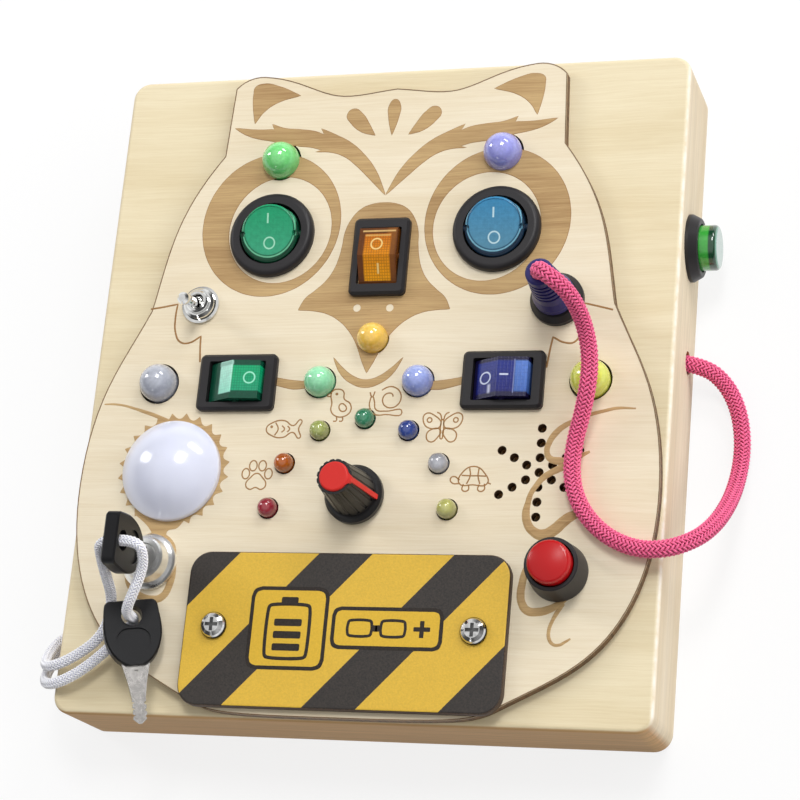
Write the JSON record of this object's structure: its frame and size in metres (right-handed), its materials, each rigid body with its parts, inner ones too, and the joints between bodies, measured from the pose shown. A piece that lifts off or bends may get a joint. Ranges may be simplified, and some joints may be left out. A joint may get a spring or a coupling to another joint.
{
  "type": "busy board",
  "caption": "Wooden owl-faced busy board for a small child: rocker and toggle switches, key lock, rotary selector, push-buttons, pull cord with plug, coloured lamps and a battery bay.",
  "frame": {"origin": "centre of the back face, on which the board lies", "axes": "+X to the right seen from the front, +Y towards the owl's ears, +Z out of the front"},
  "size_m": [0.1765, 0.1774, 0.054],
  "materials": {
    "wood": "satin",
    "owl_wood": "satin",
    "screw_steel": "polished",
    "plate_print": "satin",
    "tray_plastic": "matte",
    "cells": "gloss",
    "contact_steel": "satin",
    "black_plastic": "satin",
    "terminal_brass": "satin",
    "green_lens": "gloss",
    "blue_lens": "gloss",
    "amber_lens": "gloss",
    "deep_blue_lens": "gloss",
    "toggle_chrome": "polished",
    "switch_body": "matte",
    "lock_chrome": "polished",
    "key_nickel": "satin",
    "white_cord": "woven",
    "shaft_metal": "satin",
    "pointer_red": "satin",
    "button_red": "gloss",
    "button_green": "gloss",
    "spring_steel": "bright",
    "plug_violet": "satin",
    "plug_metal": "bright",
    "pink_cord": "braided",
    "milky_dome": "gloss",
    "dome_white": "satin",
    "brow_tint": "gloss",
    "cheek_tint": "gloss",
    "chin_tint": "gloss",
    "indicator_tint": "gloss",
    "speaker_metal": "satin",
    "speaker_paper": "matte",
    "circuit_green": "satin"
  },
  "bodies": {
    "root": {"front_board": "wood", "rail_left": "wood", "rail_right": "wood", "rail_top": "wood", "rail_bottom": "wood", "back_panel": "wood", "owl_panel": "owl_wood", "back_screws": "screw_steel", "cover_screws": "screw_steel", "cover_plate": "plate_print", "battery_tray": "tray_plastic", "batteries": "cells", "battery_contacts": "contact_steel", "panel_nuts": "contact_steel", "left_eye_housing": "black_plastic", "right_eye_housing": "black_plastic", "beak_housing": "black_plastic", "left_wing_housing": "black_plastic", "right_wing_housing": "black_plastic", "spare_key_bow": "black_plastic", "side_button_housing": "black_plastic", "red_button_housing": "black_plastic", "jack_socket": "black_plastic", "switch_terminals": "terminal_brass", "toggle_bushing": "toggle_chrome", "toggle_nut": "toggle_chrome", "toggle_body": "switch_body", "selector_switch": "switch_body", "lock_barrel": "lock_chrome", "spare_key_blade": "key_nickel", "key_cord": "white_cord", "red_button_spring": "spring_steel", "side_button_spring": "spring_steel", "pull_cord": "pink_cord", "big_dome": "milky_dome", "dome_base": "dome_white", "brow_lamps": "brow_tint", "cheek_lamps": "cheek_tint", "chin_lamps": "chin_tint", "indicator_leds": "indicator_tint", "speaker_frame": "speaker_metal", "speaker_cone": "speaker_paper", "circuit_board": "circuit_green"},
    "left_eye": {"left_eye_rocker": "green_lens"},
    "right_eye": {"right_eye_rocker": "blue_lens"},
    "beak": {"beak_rocker": "amber_lens"},
    "left_wing": {"left_wing_rocker": "green_lens"},
    "right_wing": {"right_wing_rocker": "deep_blue_lens"},
    "toggle": {"toggle_lever": "toggle_chrome"},
    "lock_turn": {"lock_cylinder": "lock_chrome"},
    "key": {"key_blade": "key_nickel", "key_bow": "black_plastic"},
    "selector": {"selector_knob": "black_plastic", "knob_pointer": "pointer_red", "selector_shaft": "shaft_metal"},
    "red_button": {"red_button_cap": "button_red"},
    "side_button": {"side_button_cap": "button_green"},
    "plug": {"plug_sleeve": "plug_violet", "plug_pin": "plug_metal"}
  },
  "joints": [
    {"name": "left_eye_rock", "type": "hinge", "parent": "root", "child": "left_eye", "pos_m": [-0.0303, 0.0395, 0.0278], "axis": [-1, 0, 0], "range_deg": [0, 24]},
    {"name": "right_eye_rock", "type": "hinge", "parent": "root", "child": "right_eye", "pos_m": [0.0303, 0.0395, 0.0278], "axis": [-1, 0, 0], "range_deg": [0, 24]},
    {"name": "beak_rock", "type": "hinge", "parent": "root", "child": "beak", "pos_m": [0, 0.0326, 0.0278], "axis": [-1, 0, 0], "range_deg": [0, 24]},
    {"name": "left_wing_rock", "type": "hinge", "parent": "root", "child": "left_wing", "pos_m": [-0.0352, -0.001, 0.0278], "axis": [0, 1, 0], "range_deg": [0, 24]},
    {"name": "right_wing_rock", "type": "hinge", "parent": "root", "child": "right_wing", "pos_m": [0.0352, -0.001, 0.0278], "axis": [0, 1, 0], "range_deg": [0, 24]},
    {"name": "toggle_flip", "type": "hinge", "parent": "root", "child": "toggle", "pos_m": [-0.0481, 0.0206, 0.0282], "axis": [-1, 0, 0], "range_deg": [0, 25]},
    {"name": "key_turn", "type": "hinge", "parent": "root", "child": "lock_turn", "pos_m": [-0.0536, -0.0484, 0.027], "axis": [0, 0, -1], "range_deg": [0, 90], "deforming": ["key_cord"]},
    {"name": "key_pull", "type": "slide", "parent": "lock_turn", "child": "key", "axis": [0, 0, 1], "range_m": [0, 0.015]},
    {"name": "selector_turn", "type": "hinge", "parent": "root", "child": "selector", "pos_m": [-0.0005, -0.0307, 0.027], "axis": [0, 0, 1], "range_deg": [0, 185]},
    {"name": "red_press", "type": "slide", "parent": "root", "child": "red_button", "axis": [0, 0, -1], "range_m": [0, 0.003], "stiffness_N_per_m": 400, "springref_m": -0.002, "deforming": ["red_button_spring"]},
    {"name": "side_press", "type": "slide", "parent": "root", "child": "side_button", "axis": [-1, 0, 0], "range_m": [0, 0.003], "stiffness_N_per_m": 400, "springref_m": -0.002, "deforming": ["side_button_spring"]},
    {"name": "plug_pull", "type": "slide", "parent": "root", "child": "plug", "axis": [0, 0, 1], "range_m": [0, 0.02], "deforming": ["pull_cord"]}
  ]
}
